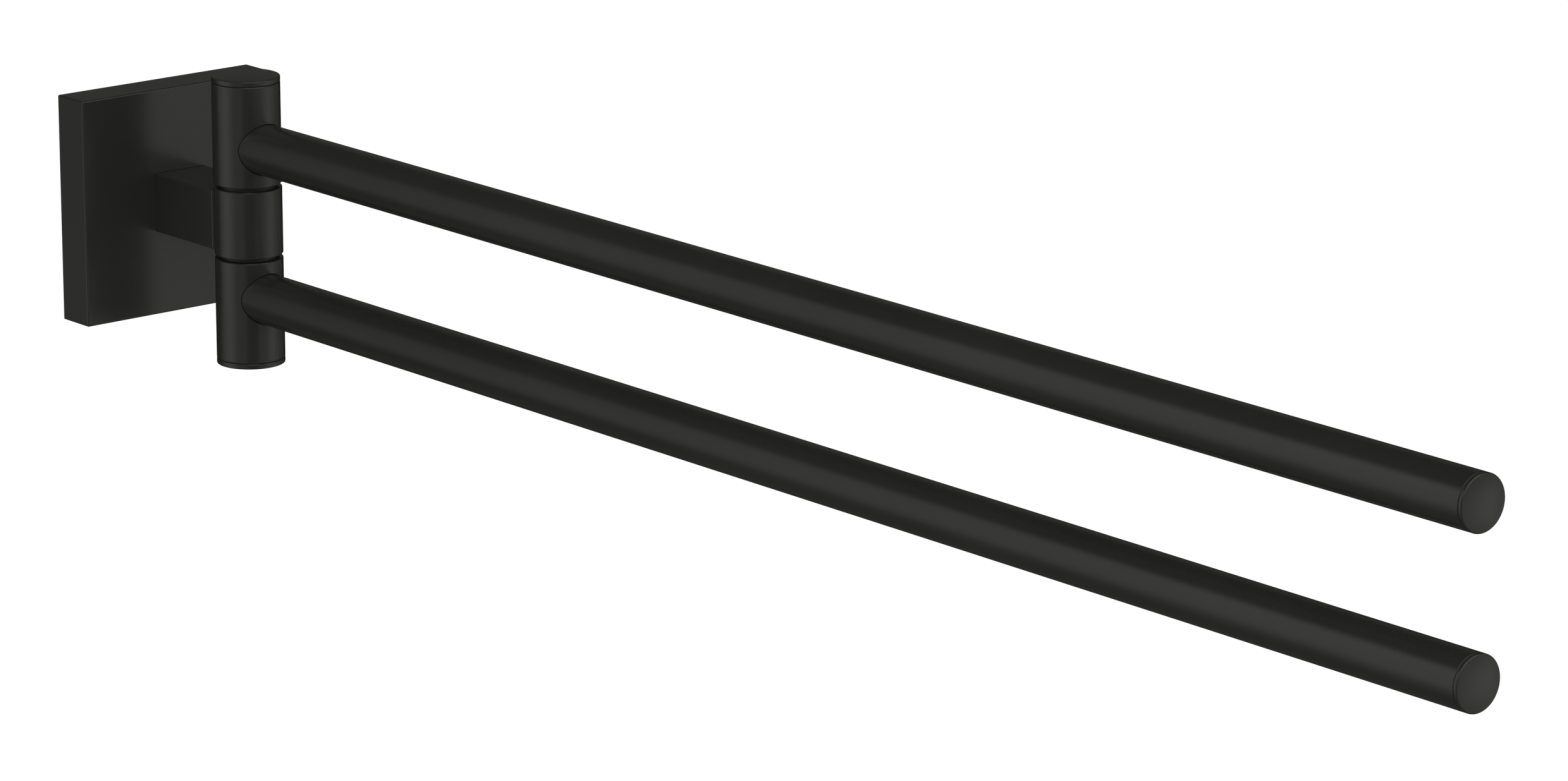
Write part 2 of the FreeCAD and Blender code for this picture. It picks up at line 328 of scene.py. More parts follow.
@dataclass(frozen=True)
class EvenFinish:
    """A moulded or oiled surface of one tone: acetal, rubber or spring steel.

    To the eye it is even, and only its grain and gloss tell what it is made of.
    """

    name: str
    colour: str
    colour_worn: str
    roughness: float
    ior: float = 1.5
    metallic: float = 0.0
    grain: Noise = Noise(0.3, detail=3.0, roughness=0.6)
    colour_stops: Span = (0.3, 0.75)
    grain_height_mm: float = 0.002

    def material(self) -> bpy.types.Material:
        """Make the finish, with one pattern for its tone and its grain.

        Returns:
            The material.
        """
        material = empty_material(self.name)
        tree = material.node_tree
        grain = self.grain.add(tree)
        finish_surface(material, add_node(tree, "ShaderNodeBsdfPrincipled", {
            "Base Color": two_tones(
                tree, grain, self.colour_stops, (self.colour, self.colour_worn)),
            "Roughness": self.roughness, "Metallic": self.metallic, "IOR": self.ior,
            "Normal": relief(tree, grain, self.grain_height_mm)}))
        return material


def make_finishes() -> Finishes:
    """Make the holder's materials once, so that like pieces share them.

    Returns:
        The material of each slot.
    """
    finishes = {
        Slot.COATED: BlackPowderCoat(),
        Slot.ZINC: ZincPlate(),
        # A grey metal, with soft highlights under its film of oil.
        Slot.SPRING: EvenFinish(
            "oiled spring steel", "#6f6d6a", "#8a8884", roughness=0.3, metallic=1.0),
        # A smooth black with a low, waxy sheen.
        Slot.ACETAL: EvenFinish(
            "moulded black acetal", "#151514", "#1a1a19", roughness=0.42, ior=1.48),
        # A dull black with hardly any highlight.
        Slot.RUBBER: EvenFinish(
            "moulded black rubber", "#121211", "#191918", roughness=0.72, ior=1.52),
    }
    return {slot: finish.material() for slot, finish in finishes.items()}


def dress(node: str, material: bpy.types.Material) -> None:
    """Put one material in every slot of a CAD node.

    Args:
        node: The node's name.
        material: The material that it gets.
    """
    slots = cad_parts[node].data.materials
    slots.clear()
    slots.append(material)
    LOG.info("%s has the finish %s", node, material.name)


def grid_faces(points: Grid, closed_across: bool, closed_along: bool) -> list[list[int]]:
    """Join a grid of points with faces.

    The point in row i and column j is a corner of up to four faces, each between two
    neighbouring rows and two neighbouring columns. A row whose points all lie in one place is
    a pole: it counts as one point, and the faces that meet it have three corners.

    Args:
        points: An array of rows by columns by 3 coordinates.
        closed_across: Whether the last column joins the first.
        closed_along: Whether the last row joins the first.

    Returns:
        The faces, as lists of point numbers.
    """
    rows, columns, _ = points.shape
    numbers = np.arange(rows * columns).reshape(rows, columns)
    poles = np.ptp(points, axis=1).max(axis=-1) < SAME_PLACE
    numbers[poles] = numbers[poles][:, :1]
    if closed_across:
        numbers = np.concatenate([numbers, numbers[:, :1]], axis=1)
    if closed_along:
        numbers = np.concatenate([numbers, numbers[:1]])
    corners = [numbers[:-1, :-1], numbers[:-1, 1:], numbers[1:, 1:], numbers[1:, :-1]]
    quads = np.stack(corners, axis=-1).reshape(-1, 4)
    starts_at_pole = quads[:, 0] == quads[:, 1]
    ends_at_pole = quads[:, 2] == quads[:, 3]
    plain = ~(starts_at_pole | ends_at_pole)
    return [
        *quads[plain].tolist(),
        *quads[starts_at_pole][:, 1:].tolist(),
        *quads[ends_at_pole][:, :3].tolist(),
    ]


def surface_object(name: str, grids: Sequence[Grid], closed_across: bool = True,
                   closed_along: bool = False) -> bpy.types.Object:
    """Make one object from grids of points, without the points that no face uses.

    Args:
        name: The object's name.
        grids: Arrays of rows by columns by 3 coordinates, one for each separate surface.
        closed_across: Whether the last column of each grid joins its first.
        closed_along: Whether the last row of each grid joins its first.

    Returns:
        The object, linked to the scene.
    """
    corners, faces, first = [], [], 0
    for points in grids:
        flat = points.reshape(-1, 3)
        grid = grid_faces(points, closed_across, closed_along)
        used, renumbered = np.unique(np.concatenate(grid), return_inverse=True)
        ends = np.cumsum([len(face) for face in grid])[:-1]
        faces += [face.tolist() for face in np.split(renumbered.reshape(-1) + first, ends)]
        corners.append(flat[used])
        first += len(used)
    mesh = bpy.data.meshes.new(name)
    mesh.from_pydata(np.concatenate(corners).tolist(), [], faces)
    mesh.update()
    new_object = bpy.data.objects.new(name, mesh)
    bpy.context.scene.collection.objects.link(new_object)
    return new_object


def fit_piece(piece: bpy.types.Object, body: Body, slot: Slot, finishes: Finishes,
              node: str) -> None:
    """Dress a new piece, let it ride on its body and let it stand for its CAD node.

    Args:
        piece: The new piece.
        body: The body that it moves with.
        slot: The material slot that it takes its finish from.
        finishes: The holder's materials.
        node: The CAD node that it replaces.
    """
    piece.data.shade_smooth()
    piece.data.set_sharp_from_angle(angle=math.radians(SHARP_EDGE))
    piece.data.materials.append(finishes[slot])
    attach(piece, body.value)
    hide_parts(node)
    LOG.info("%s stands for %s on %s, with %d faces",
             piece.name, node, body.value, len(piece.data.polygons))


def rounded_corner(before: Point, corner: Point, after: Point, rounding: float) -> Grid:
    """Round one corner of a section.

    The arc touches both sides of the corner. With h as half the angle between the sides, it
    starts and ends rounding / tan(h) from the corner, and its centre lies rounding / sin(h)
    from it on the line that halves the angle. A point just outside each end of the arc keeps
    the flat sides flat in the shading.

    Args:
        before: The (radius, distance) of the corner before.
        corner: The corner itself.
        after: The corner after.
        rounding: The radius of the arc.

    Returns:
        The points of the arc and its two neighbours.
    """
    place = np.array(corner)
    to_before = np.array(before) - place
    to_after = np.array(after) - place
    to_before = to_before / np.linalg.norm(to_before)
    to_after = to_after / np.linalg.norm(to_after)
    half = math.acos(float(to_before @ to_after)) / 2
    halving = (to_before + to_after) / np.linalg.norm(to_before + to_after)
    centre = place + halving * rounding / math.sin(half)
    start = place + to_before * rounding / math.tan(half)
    end = place + to_after * rounding / math.tan(half)
    sweep = math.pi - 2 * half
    share = np.linspace(0, 1, ARC_POINTS)[:, None]
    arc = centre + (np.sin((1 - share) * sweep) * (start - centre)
                    + np.sin(share * sweep) * (end - centre)) / math.sin(sweep)
    hold = FLAT_HOLD * rounding
    return np.concatenate([[start + to_before * hold], arc, [end + to_after * hold]])


def section(corners: Sequence[Corner], closed: bool = False) -> Grid:
    """Lay out the section of a turned piece from its corners.

    Args:
        corners: The radius, distance and rounding of each corner. A rounding of 0 is sharp.
        closed: Whether the last corner joins the first.

    Returns:
        An array of (radius, distance) points.
    """
    runs = []
    for number, (radius, distance, rounding) in enumerate(corners):
        if rounding and (closed or 0 < number < len(corners) - 1):
            before = corners[number - 1][:2]
            after = corners[(number + 1) % len(corners)][:2]
            runs.append(rounded_corner(before, (radius, distance), after, rounding))
        else:
            runs.append(np.array([(radius, distance)]))
    return np.concatenate(runs)


def domed_end(radius: float, rise: float, tip: float, rounding: float) -> Grid:
    """Lay out a rounded edge and a dome, from the side of a turned piece to its tip.

    The dome is part of a ball with its centre on the axis and a radius of
    b = (radius^2 + rise^2) / (2 rise). The edge is an arc that touches the side and the ball
    from inside, so its centre is at radius - rounding and b - rounding from the ball's centre.

    Args:
        radius: The radius of the side.
        rise: How high the dome would be without its rounded edge.
        tip: The distance of the tip.
        rounding: The radius of the edge's arc.

    Returns:
        An array of (radius, distance) points.
    """
    ball = (radius ** 2 + rise ** 2) / (2 * rise)
    edge_middle = radius - rounding
    edge_level = tip - ball + math.sqrt((ball - rounding) ** 2 - edge_middle ** 2)
    meeting = math.asin(edge_middle / (ball - rounding))
    turn = np.linspace(0, math.pi / 2 - meeting, ARC_POINTS)
    edge = np.stack([
        edge_middle + rounding * np.cos(turn), edge_level + rounding * np.sin(turn)], axis=-1)
    lean = np.linspace(meeting, 0, DOME_POINTS)[1:]
    dome = np.stack([ball * np.sin(lean), tip - ball + ball * np.cos(lean)], axis=-1)
    hold = np.array([[radius, edge_level - FLAT_HOLD * rounding]])
    return np.concatenate([hold, edge, dome])


def turned(radius: Grid, distance: Grid, base: Vector, direction: Vector) -> Grid:
    """Turn a section round a line.

    The point at a turn of t is base + distance * direction + radius * (cos t * across + sin t *
    around), where across, around and direction stand square to each other.

    Args:
        radius: The radius in mm of each row and column.
        distance: The distance in mm along the line, in the same form.
        base: The start of the line, in mm.
        direction: The line's direction.

    Returns:
        The points in metres, as rows by columns by 3 coordinates.
    """
    turn = np.linspace(0, 2 * math.pi, TURN_COLUMNS, endpoint=False)
    across = np.array(direction.orthogonal().normalized())
    around = np.cross(np.array(direction), across)
    spokes = np.cos(turn)[:, None] * across + np.sin(turn)[:, None] * around
    along = distance[..., None] * np.array(direction)
    return (np.array(base) + along + radius[..., None] * spokes) * MM


def all_round(rows: Grid) -> Grid:
    """Give rows of one value the same value in every column of a turned piece."""
    return np.broadcast_to(rows, (len(rows), TURN_COLUMNS))


def turned_object(name: str, outline: Grid, base: Vector, direction: Vector,
                  closed: bool = False) -> bpy.types.Object:
    """Make one object by turning a section round a line.

    Args:
        name: The object's name.
        outline: The section, as an array of (radius, distance) points in mm.
        base: The start of the line, in mm.
        direction: The line's direction.
        closed: Whether the section's last point joins its first.

    Returns:
        The object, linked to the scene.
    """
    points = turned(all_round(outline[:, :1]), all_round(outline[:, 1:]), base, direction)
    return surface_object(name, [points], closed_along=closed)


@dataclass(frozen=True)
class MachineScrew:
    """A screw with a real thread and a hexagonal socket, in mm, from its head to its point.

    The body is the section from the head's face to the start of the thread. The thread is a
    ridge wound round the core. At a distance d and a turn t it stands where
    d / pitch - t / (2 pi) is a whole number, with straight flanks and a flat crest and root, and
    it fades into the core at both ends. The point is a short cone with a flat end.
    """

    thread_radius: float
    pitch: float
    thread_start: float
    length: float
    body: tuple[Corner, ...]
    socket_flats: float
    socket_depth: float
    point_length: float = 0.4

    def socket_radius(self, turn: Grid) -> Grid:
        """Work out the socket's radius at each turn.

        Args:
            turn: Turns in radians.

        Returns:
            Half the flats over the cosine of the turn from the middle of the nearest flat.
        """
        from_flat = np.mod(turn, HEXAGON_SIDE) - HEXAGON_SIDE / 2
        return self.socket_flats / 2 / np.cos(from_flat)

    def points(self, base: Vector, direction: Vector) -> Grid:
        """Lay out the screw as one closed surface.

        Args:
            base: The middle of the head's face, in mm.
            direction: The direction from the head to the point.

        Returns:
            The grid of points, from the socket's floor over the head and the thread to the point.
        """
        turn = np.linspace(0, 2 * math.pi, TURN_COLUMNS, endpoint=False)
        hexagon = self.socket_radius(turn)
        mouth = np.full_like(turn, hexagon.max() + SOCKET_LEAD_IN)
        floor = self.socket_depth + SOCKET_CONE * self.socket_flats
        outside = section(self.body)
        steps = round((self.length - self.thread_start) / self.pitch * THREAD_ROWS)
        along = np.linspace(self.thread_start, self.length, steps + 1)[:, None]
        wave = np.mod(along / self.pitch - turn / (2 * math.pi), 1)
        ridge = np.clip((np.abs(2 * wave - 1) - THREAD_ROOT) / THREAD_FLANK, 0, 1)
        ends = np.minimum(along - self.thread_start, self.length - along) / self.pitch
        depth = THREAD_DEPTH * self.pitch
        core = self.thread_radius - depth
        radius = np.concatenate([
            np.stack([np.zeros_like(turn), hexagon, hexagon, mouth]),
            all_round(outside[:, :1]),
            core + depth * ridge * np.clip(ends, 0, 1),
            all_round(np.array([[core - self.point_length / 2], [0.0]]))])
        distance = np.concatenate([
            all_round(np.array([[floor], [self.socket_depth], [SOCKET_LEAD_IN], [0.0]])),
            all_round(outside[:, 1:]),
            all_round(along),
            all_round(np.full((2, 1), self.length + self.point_length))])
        return turned(radius, distance, base, direction)


@dataclass
class WallMount:
    """The fixed pieces: bracket, rosette, stem, centre knuckle and what holds them, in mm."""

    body: Body = Body.WALL_MOUNT
    # The faces of the screws' heads: the pivot screws' lie this far above and below the stem's
    # axis, the stem screw's this far from the wall, and the set screw's at this level, with its
    # axis this far from the wall.
    pivot_head_level: float = 30.35
    stem_screw_face: float = 3.7
    clamp_face_level: float = -26.6
    clamp_from_wall: float = 4.5
    pivot_screw: MachineScrew = MachineScrew(
        thread_radius=2.5, pitch=0.8, thread_start=22.75, length=25.95,
        body=((4.15, 0.0, 0.0), (4.5, 0.35, 0.0), (4.5, 2.5, 0.1), (3.0, 2.5, 0.0),
              (3.0, 22.35, 0.15), (2.0, 22.35, 0.0), (2.0, 22.7, 0.0)),
        socket_flats=4.0, socket_depth=1.6)
    stem_screw: MachineScrew = MachineScrew(
        thread_radius=2.5, pitch=0.8, thread_start=24.0, length=38.4,
        body=((4.1, 0.0, 0.0), (4.5, 0.4, 0.0), (4.5, 2.8, 0.15), (2.5, 2.8, 0.0),
              (2.5, 23.5, 0.1), (2.0, 23.95, 0.0)),
        socket_flats=4.0, socket_depth=1.8)
    clamp_screw: MachineScrew = MachineScrew(
        thread_radius=2.0, pitch=0.7, thread_start=0.35, length=4.2,
        body=((1.55, 0.0, 0.0), (1.6, 0.3, 0.0)),
        socket_flats=2.0, socket_depth=1.8)

    def build(self, finishes: Finishes) -> None:
        """Make the screws and dress the fixed pieces.

        Args:
            finishes: The holder's materials.
        """
        self.build_screws(finishes)
        for node in ("rosette_cover", "stem_block", "centre_knuckle"):
            dress(node, finishes[Slot.COATED])
        for node in ("wall_bracket", "stem_washer"):
            dress(node, finishes[Slot.ZINC])
        for node in ("thrust_washers", "friction_discs"):
            dress(node, finishes[Slot.ACETAL])
        dress("disc_springs", finishes[Slot.SPRING])

    def build_screws(self, finishes: Finishes) -> None:
        """Make the two pivot screws, the stem's screw and the rosette's set screw.

        Args:
            finishes: The holder's materials.
        """
        pivots = [
            self.pivot_screw.points(Vector((0, -POST_OFFSET, up.z * self.pivot_head_level)), -up)
            for up in (UP, DOWN)]
        stem = self.stem_screw.points(Vector((0, -self.stem_screw_face, 0)), FROM_WALL)
        clamp = self.clamp_screw.points(
            Vector((0, -self.clamp_from_wall, self.clamp_face_level)), UP)
        for name, grids, node in (
                ("threaded_pivot_screws", pivots, "pivot_screws"),
                ("threaded_stem_screw", [stem], "stem_screw"),
                ("threaded_set_screw", [clamp], "clamp_set_screw")):
            fit_piece(surface_object(name, grids), self.body, Slot.ZINC, finishes, node)


@dataclass
class SwingArm:
    """One swinging arm: knuckle, bush, bar, end cap and post cap with its ring, in mm."""

    side: Side
    # The bar's tube. Its level is measured from the stem's axis, its two ends from the wall.
    bar_level: float = 17.8
    bar_radius: float = 6.0
    bar_wall: float = 1.0
    bar_start: float = 42.4
    bar_end: float = 437.5
    bar_rounding: float = 0.25
    # The bar's end cap, with its dome's rise, the roundings of its edge and its seam, and the
    # hollow plug that holds it in the tube.
    end_cap_reach: float = 1.5
    end_cap_rise: float = 0.6
    end_cap_edge: float = 0.4
    end_cap_seam: float = 0.25
    end_plug_radius: float = 4.95
    end_plug_wall: float = 1.4
    end_plug_length: float = 8.0
    end_plug_rounding: float = 0.3
    # The post's cap, with its dome's rise and the rounding of its edge, and the hollow skirt that
    # holds it in the knuckle. The post's top is measured from the stem's axis.
    post_radius: float = 8.0
    post_top: float = 32.9
    cap_height: float = 1.6
    cap_rise: float = 0.3
    cap_edge: float = 0.3
    cap_skirt_radius: float = 6.1
    cap_skirt_wall: float = 1.7
    cap_skirt_length: float = 2.25
    cap_skirt_rounding: float = 0.15
    # The floors of both caps' hollows are rounded by this.
    hollow_rounding: float = 0.3
    # The skirt's groove for the cap ring.
    ring_groove_radius: float = 5.15
    ring_groove_start: float = 0.575
    ring_groove_width: float = 1.1

    @property
    def body(self) -> Body:
        """The body that the arm's pieces ride on."""
        return Body[f"{self.side.name}_ARM"]

    @property
    def up(self) -> Vector:
        """The direction from the stem to this arm."""
        return UP if self.side is Side.UPPER else DOWN

    def build(self, finishes: Finishes) -> None:
        """Make and dress the arm's pieces.

        Args:
            finishes: The holder's materials.
        """
        side = self.side.value
        for name, piece, node in (
                ("bar", self.bar, "bar_tube"),
                ("domed_plug", self.end_cap, "bar_end_cap"),
                ("domed_cap", self.post_cap, "post_cap")):
            fit_piece(piece(f"{side}_{name}"), self.body, Slot.COATED, finishes, f"{side}_{node}")
        dress(f"{side}_knuckle", finishes[Slot.COATED])
        dress(f"{side}_bush", finishes[Slot.ACETAL])
        dress(f"{side}_cap_ring", finishes[Slot.RUBBER])

    def on_bar(self, from_wall: float) -> Vector:
        """Find the point on the bar's axis at a distance from the wall."""
        return Vector((0, -from_wall, self.up.z * self.bar_level))

    def bar(self, name: str) -> bpy.types.Object:
        """Turn the bar's tube: its section is a long thin ring with rounded outer ends.

        Args:
            name: The piece's name.

        Returns:
            The piece.
        """
        length = self.bar_end - self.bar_start
        bore = self.bar_radius - self.bar_wall
        outline = section((
            (bore, 0.0, 0.0), (self.bar_radius, 0.0, self.bar_rounding),
            (self.bar_radius, length, self.bar_rounding), (bore, length, 0.0)), closed=True)
        return turned_object(name, outline, self.on_bar(self.bar_start), FROM_WALL, closed=True)

    def end_cap(self, name: str) -> bpy.types.Object:
        """Turn the bar's end cap: a hollow plug, a seam and a domed face with a soft edge.

        Args:
            name: The piece's name.

        Returns:
            The piece.
        """
        hollow = self.end_plug_radius - self.end_plug_wall
        inside = section((
            (0.0, 0.0, 0.0),
            (hollow, 0.0, self.hollow_rounding),
            (hollow, -self.end_plug_length, 0.0),
            (self.end_plug_radius, -self.end_plug_length, self.end_plug_rounding),
            (self.end_plug_radius, 0.0, 0.0),
            (self.bar_radius, 0.0, self.end_cap_seam),
            (self.bar_radius, self.end_cap_reach, 0.0)))
        face = domed_end(self.bar_radius, self.end_cap_rise, self.end_cap_reach, self.end_cap_edge)
        outline = np.concatenate([inside[:-1], face])
        return turned_object(name, outline, self.on_bar(self.bar_end), FROM_WALL)

    def post_cap(self, name: str) -> bpy.types.Object:
        """Turn the post's cap: a hollow skirt with a groove for its ring, and a low dome.

        Args:
            name: The piece's name.

        Returns:
            The piece.
        """
        hollow = self.cap_skirt_radius - self.cap_skirt_wall
        groove_end = self.ring_groove_start + self.ring_groove_width
        inside = section((
            (0.0, 0.0, 0.0),
            (hollow, 0.0, self.hollow_rounding),
            (hollow, -self.cap_skirt_length, 0.0),
            (self.cap_skirt_radius, -self.cap_skirt_length, self.cap_skirt_rounding),
            (self.cap_skirt_radius, -groove_end, 0.0),
            (self.ring_groove_radius, -groove_end, 0.0),
            (self.ring_groove_radius, -self.ring_groove_start, 0.0),
            (self.cap_skirt_radius, -self.ring_groove_start, 0.0),
            (self.cap_skirt_radius, 0.0, 0.0),
            (self.post_radius, 0.0, self.cap_edge),
            (self.post_radius, self.cap_height, 0.0)))
        face = domed_end(self.post_radius, self.cap_rise, self.cap_height, self.cap_edge)
        outline = np.concatenate([inside[:-1], face])
        base = Vector((0, -POST_OFFSET, self.up.z * self.post_top))
        return turned_object(name, outline, base, self.up)


@dataclass(frozen=True)
class LightWindow:
    """A soft window of light in the dark surround, in degrees as the holder sees it.

    Each side is a pair: the angle at which the light has fallen to half, and the width of
    the soft edge round that angle.
    """

    left: Span
    right: Span
    bottom: Span
    top: Span
    level: float

    def glow(self, azimuth: Grid, elevation: Grid) -> Grid:
        """Work out the window's brightness in each direction.

        Args:
            azimuth: Azimuths in degrees.
            elevation: Elevations in degrees.

        Returns:
            The level times one smooth step, 3 t^2 - 2 t^3, for each of the four sides.
        """
        middle = (self.left[0] + self.right[0]) / 2
        half_width = (self.right[0] - self.left[0]) / 2
        aside = np.mod(azimuth - middle + 180, 360) - 180
        inside = np.full_like(azimuth, self.level)
        for distance, edge in (
                (half_width + aside, self.left[1]),
                (half_width - aside, self.right[1]),
                (elevation - self.bottom[0], self.bottom[1]),
                (self.top[0] - elevation, self.top[1])):
            step = np.clip(0.5 + distance / edge, 0, 1)
            inside = inside * step * step * (3 - 2 * step)
        return inside


@dataclass(frozen=True)
class Softbox:
    """A large square lamp that faces the holder from one direction.

    The level is its light over that of a white world of strength 1. From a distance of d, a lamp
    of power p gives p / (pi^2 d^2) of that world's light. Reflections don't show the lamp,
    because they show the windows of the surround.
    """

    name: str
    azimuth: float
    elevation: float
    distance: float
    side: float
    level: float

    def build(self) -> None:
        """Hang the lamp."""
        lamp = bpy.data.lights.new(self.name, "AREA")
        lamp.shape = "SQUARE"
        lamp.size = self.side
        lamp.energy = self.level * math.pi ** 2 * self.distance ** 2
        turn, rise = math.radians(self.azimuth), math.radians(self.elevation)
        outward = Vector((
            math.sin(turn) * math.cos(rise), -math.cos(turn) * math.cos(rise), math.sin(rise)))
        holder = bpy.data.objects.new(self.name, lamp)
        holder.location = HOLDER_MIDDLE + outward * self.distance
        holder.rotation_euler = outward.to_track_quat("Z", "Y").to_euler()
        holder.visible_camera = False
        holder.visible_glossy = False
        bpy.context.scene.collection.objects.link(holder)


def seen_directly(tree: bpy.types.NodeTree) -> bpy.types.NodeSocket:
    """Tell what is seen, also in a reflection or through glass, from what only gives light.

    Args:
        tree: The node tree that the nodes go into.

    Returns:
        A socket that is 1 for camera, glossy and transmission rays, and 0 for others.
    """
    path = add_node(tree, "ShaderNodeLightPath")
    either = add_node(tree, "ShaderNodeMath", {
        0: path.outputs["Is Camera Ray"], 1: path.outputs["Is Glossy Ray"]}, operation="MAXIMUM")
    return add_node(tree, "ShaderNodeMath", {
        0: either.outputs[0], 1: path.outputs["Is Transmission Ray"]},
        operation="MAXIMUM").outputs[0]


@dataclass
class Studio:
    """Floor, world, lamps and the dark surround that the black coat reflects, in metres."""

    # The floor lies so low that a camera that looks up at the holder is still above it.
    floor_level: float = -5.6
    floor_half: float = 66.0
    floor_colour: str = "#f4f4f4"
    # The floor looks brighter by this than its paint does in the studio's light.
    floor_lift: float = 0.45
    # The world looks white, but gives only this part of a white world's light.
    world_colour: str = "#ffffff"
    world_level: float = 0.65
    # The surround's middle lies to the right of the holder and in front of it. It reaches this
    # far to each side of the middle, and this far above and below it.
    surround_middle: tuple[float, float] = (2.2, -1.5)
    surround_reach: float = 4.46
    surround_height: float = 4.0
    surround_depth: float = 1.5
    # The surround has a column and a row for each degree.
    surround_columns: int = 360
    surround_rows: int = 181
    # The dark cloth itself shines as weakly as this.
    base_level: float = 0.02
    window_colour: str = "#fffffa"
    windows: tuple[LightWindow, ...] = (
        # The main window on the left, and what it has more at its top, bottom and lower right.
        LightWindow(left=(-135, 34), right=(-87, 26), bottom=(-23, 84), top=(40, 20), level=0.64),
        LightWindow(left=(-143, 12), right=(-118, 20), bottom=(20, 16), top=(42, 14), level=0.12),
        LightWindow(left=(-142, 10), right=(-122, 16), bottom=(-30, 16), top=(-4, 16), level=0.06),
        LightWindow(left=(-118, 22), right=(-95, 22), bottom=(-35, 20), top=(0, 24), level=0.22),
        # Where it tails off behind the holder.
        LightWindow(left=(-158, 16), right=(-138, 14), bottom=(-30, 20), top=(30, 14), level=0.03),
        # What the left sides of the rosette and the stem show.
        LightWindow(left=(-150, 6), right=(-142, 6), bottom=(-17, 6), top=(-8, 8), level=0.07),
        # A dimmer stretch from the main window to the front.
        LightWindow(left=(-90, 12), right=(-48, 8), bottom=(-45, 20), top=(40, 20), level=0.21),
        # A broad window on the right, its core, which the rosette's front shows, and its tail.
        LightWindow(left=(-9, 22), right=(70, 24), bottom=(-45, 20), top=(25, 20), level=0.29),
        LightWindow(left=(26, 26), right=(55, 12), bottom=(-24, 12), top=(-5, 12), level=0.34),
        LightWindow(left=(60, 10), right=(100, 20), bottom=(-45, 20), top=(25, 20), level=0.12),
        # A bright window high in front.
        LightWindow(left=(-46, 16), right=(50, 14), bottom=(15, 14), top=(68, 14), level=1.0),
        # What the tops of the rosette, the stem and the post show.
        LightWindow(left=(128, 16), right=(160, 16), bottom=(3, 12), top=(27, 12), level=0.065),
        # A faint glow from low down on the left and behind.
        LightWindow(
            left=(-250, 30), right=(-120, 30), bottom=(-95, 10), top=(-36, 12), level=0.04),
    )
    softboxes: tuple[Softbox, ...] = (
        Softbox("key softbox", azimuth=-42, elevation=12, distance=2.5, side=1.4, level=0.40),
        Softbox("high softbox", azimuth=-60, elevation=62, distance=1.9, side=1.4, level=0.16),
    )

    def build(self) -> None:
        """Build the whole studio."""
        self.build_world()
        self.build_floor()
        self.build_surround()
        for softbox in self.softboxes:
            softbox.build()

    def build_world(self) -> None:
        """Make a world that looks white and lights the holder evenly."""
        world = bpy.data.worlds.new("white studio")
        world.use_nodes = True
        tree = world.node_tree
        tree.nodes.clear()
        colour = linear(self.world_colour)
        lighting = add_node(tree, "ShaderNodeBackground", {
            "Color": colour, "Strength": self.world_level})
        white = add_node(tree, "ShaderNodeBackground", {"Color": colour, "Strength": 1.0})
        mixed = add_node(tree, "ShaderNodeMixShader", {
            0: seen_directly(tree), 1: lighting.outputs[0], 2: white.outputs[0]})
        add_node(tree, "ShaderNodeOutputWorld", {"Surface": mixed.outputs[0]})
        bpy.context.scene.world = world

    def build_floor(self) -> None:
        """Lay a pale floor, which looks white and keeps the holder's shadow."""
        along = np.array([-self.floor_half, 0.0, self.floor_half])
        across, forward = np.meshgrid(along, along)
        points = np.stack([across, forward, np.full_like(across, self.floor_level)], axis=-1)
        floor = surface_object("floor", [points], closed_across=False)
        material = empty_material("pale floor")
        tree = material.node_tree
        paint = add_node(tree, "ShaderNodeBsdfDiffuse", {"Color": linear(self.floor_colour)})
        dark = add_node(tree, "ShaderNodeEmission", {"Strength": 0.0})
        lift = add_node(tree, "ShaderNodeEmission", {"Strength": self.floor_lift})
        seen = add_node(tree, "ShaderNodeMixShader", {
            0: seen_directly(tree), 1: dark.outputs[0], 2: lift.outputs[0]})
        finish_surface(material, add_node(tree, "ShaderNodeAddShader", {
            0: paint.outputs[0], 1: seen.outputs[0]}))
        floor.data.materials.append(material)

    def build_surround(self) -> None:
        """Hang dark cloth around the holder, with soft windows of light in it.

        Only reflections see it, as with flags round a glossy black object.
        """
        cloth = surface_object("surround", [self.surround_points()])
        spots = np.empty(len(cloth.data.vertices) * 3)
        cloth.data.vertices.foreach_get("co", spots)
        x, y, z = spots.reshape(-1, 3).T
        azimuth = np.degrees(np.arctan2(x, -y))
        elevation = np.degrees(np.arctan2(z, np.hypot(x, y)))
        glow = self.base_level + sum(window.glow(azimuth, elevation) for window in self.windows)
        attribute = cloth.data.attributes.new("glow", "FLOAT", "POINT")
        attribute.data.foreach_set("value", glow.astype(np.float32))
        material = empty_material("dark cloth with light windows")
        tree = material.node_tree
        read = add_node(tree, "ShaderNodeAttribute", attribute_name="glow")
        finish_surface(material, add_node(tree, "ShaderNodeEmission", {
            "Color": linear(self.window_colour), "Strength": read.outputs["Fac"]}))
        cloth.data.materials.append(material)
        cloth.visible_camera = False
        cloth.visible_diffuse = False
        cloth.visible_transmission = False
        cloth.visible_volume_scatter = False
        cloth.visible_shadow = False

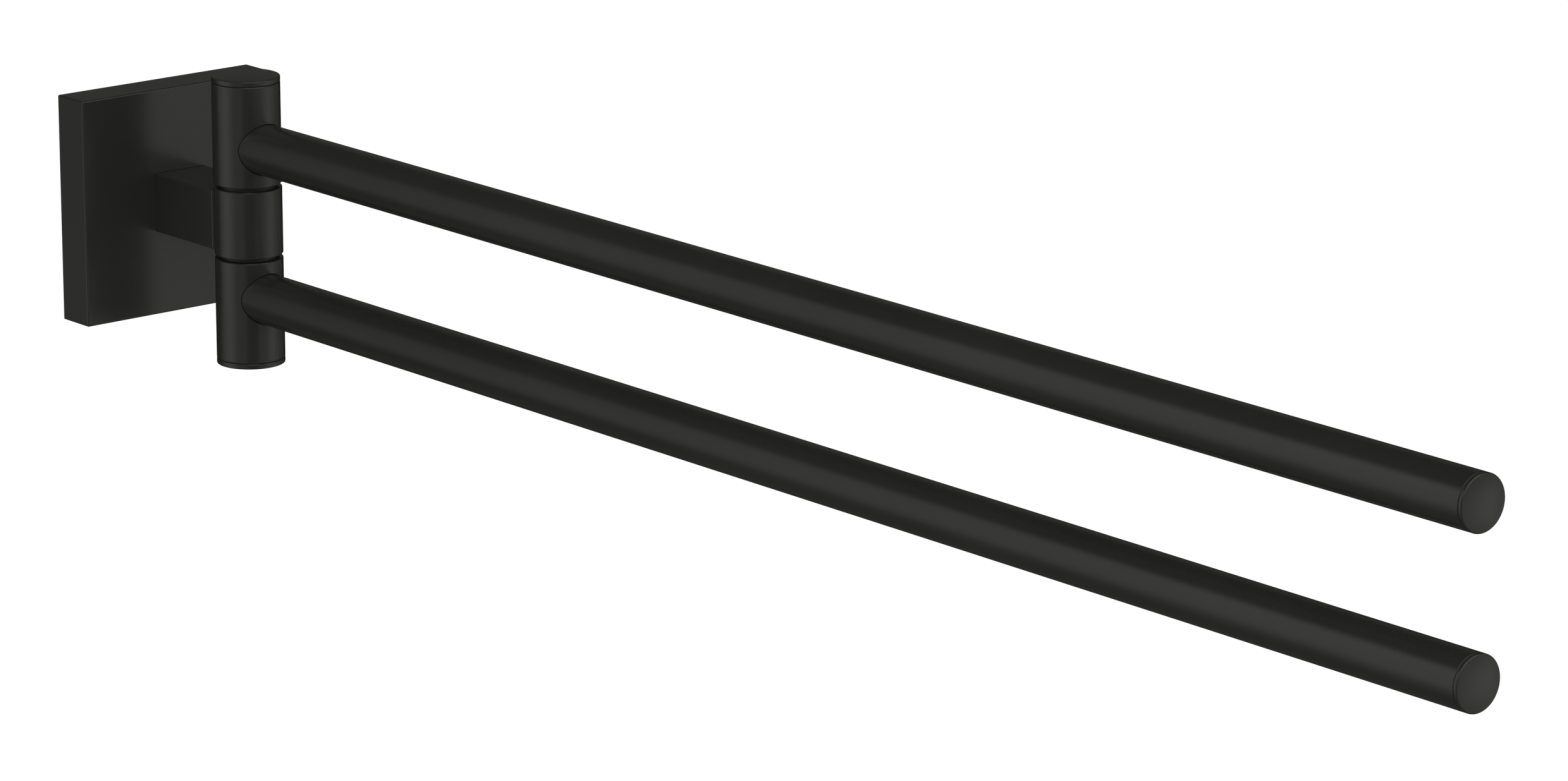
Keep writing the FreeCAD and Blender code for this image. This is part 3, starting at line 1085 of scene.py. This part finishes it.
    def surround_points(self) -> Grid:
        """Lay out the surround, a flattened ball that is nearest to the holder on its left.

        In each direction u from the origin, the point is s u. With m as the ball's middle and h
        as its half sizes, s is the larger root of a s^2 + b s + c = 0, where a is the sum over
        the three axes of (u / h)^2, b of -2 u m / h^2 and c of (m / h)^2, less 1.

        Returns:
            The grid of points, whose faces look inwards.
        """
        turn, rise = np.meshgrid(
            np.radians(np.linspace(-180, 180, self.surround_columns, endpoint=False)),
            np.radians(np.linspace(-90, 90, self.surround_rows)))
        outward = np.stack([
            np.sin(turn) * np.cos(rise), -np.cos(turn) * np.cos(rise), np.sin(rise)], axis=-1)
        high = np.where(rise > 0, self.surround_height, self.surround_depth)
        half_sizes = np.stack([np.full_like(high, self.surround_reach)] * 2 + [high], axis=-1)
        middle = np.array([*self.surround_middle, 0.0])
        a = np.sum((outward / half_sizes) ** 2, axis=-1)
        b = -2 * np.sum(outward * middle / half_sizes ** 2, axis=-1)
        c = np.sum((middle / half_sizes) ** 2, axis=-1) - 1
        reach = (-b + np.sqrt(b * b - 4 * a * c)) / (2 * a)
        return (outward * reach[..., None])[:, ::-1]


@dataclass
class PhotoCamera:
    """The camera, placed by fitting the holder's edges in the photograph.

    The position is in metres. In radians, the yaw turns it from looking along +Y towards +X,
    and the pitch tilts it down.
    """

    position: tuple[float, float, float] = (-0.89385, -1.30764, 0.36583)
    yaw: float = 0.69353
    pitch: float = 0.25714
    lens_mm: float = 156.97
    sensor_mm: float = 36.0
    clip_end: float = 200.0

    def build(self) -> None:
        """Make the camera and use it for the scene."""
        data = bpy.data.cameras.new("photo camera")
        data.lens = self.lens_mm
        data.sensor_fit = "HORIZONTAL"
        data.sensor_width = self.sensor_mm
        data.clip_end = self.clip_end
        camera = bpy.data.objects.new("photo camera", data)
        forward = Vector((
            math.sin(self.yaw) * math.cos(self.pitch),
            math.cos(self.yaw) * math.cos(self.pitch),
            -math.sin(self.pitch)))
        camera.rotation_euler = forward.to_track_quat("-Z", "Y").to_euler()
        camera.location = self.position
        bpy.context.scene.collection.objects.link(camera)
        bpy.context.scene.camera = camera


def main() -> None:
    """Build the holder, its studio and its camera, and report each piece."""
    logging.basicConfig(level=logging.INFO, format="%(name)s: %(message)s")
    bpy.context.scene.view_settings.view_transform = "Standard"
    PhotoCamera().build()
    finishes = make_finishes()
    WallMount().build(finishes)
    for side in Side:
        SwingArm(side).build(finishes)
    Studio().build()


if __name__ == "__main__":
    main()
